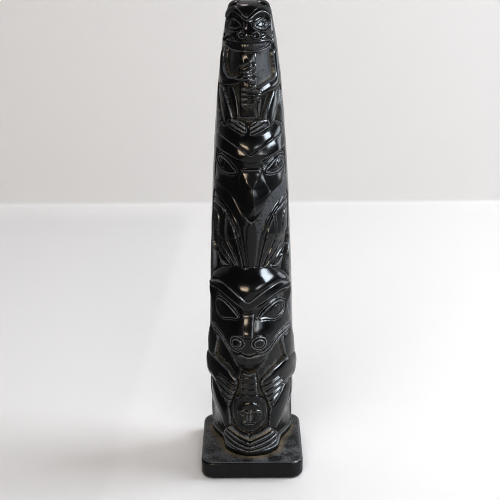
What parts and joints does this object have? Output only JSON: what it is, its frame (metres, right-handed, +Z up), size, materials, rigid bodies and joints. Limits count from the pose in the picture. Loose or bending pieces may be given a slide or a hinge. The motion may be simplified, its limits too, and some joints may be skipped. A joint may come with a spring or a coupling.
{
  "type": "totem figure",
  "caption": "Small polished black totem pole with a bear, a raven and a bear cub carved one above the other, on a square plinth; stands on a shelf as an ornament.",
  "frame": {"origin": "centre of the plinth's underside", "axes": "+Z up along the pole, -Y out of the carved face, +X to the viewer's right"},
  "size_m": [0.028, 0.028, 0.1271],
  "materials": {
    "polished_resin": "polished black cast resin with dust in the recesses",
    "satin_resin": "duller black cast resin with a dusty top"
  },
  "bodies": {
    "root": {"totem_pole": "polished_resin", "plinth": "satin_resin"}
  },
  "joints": []
}
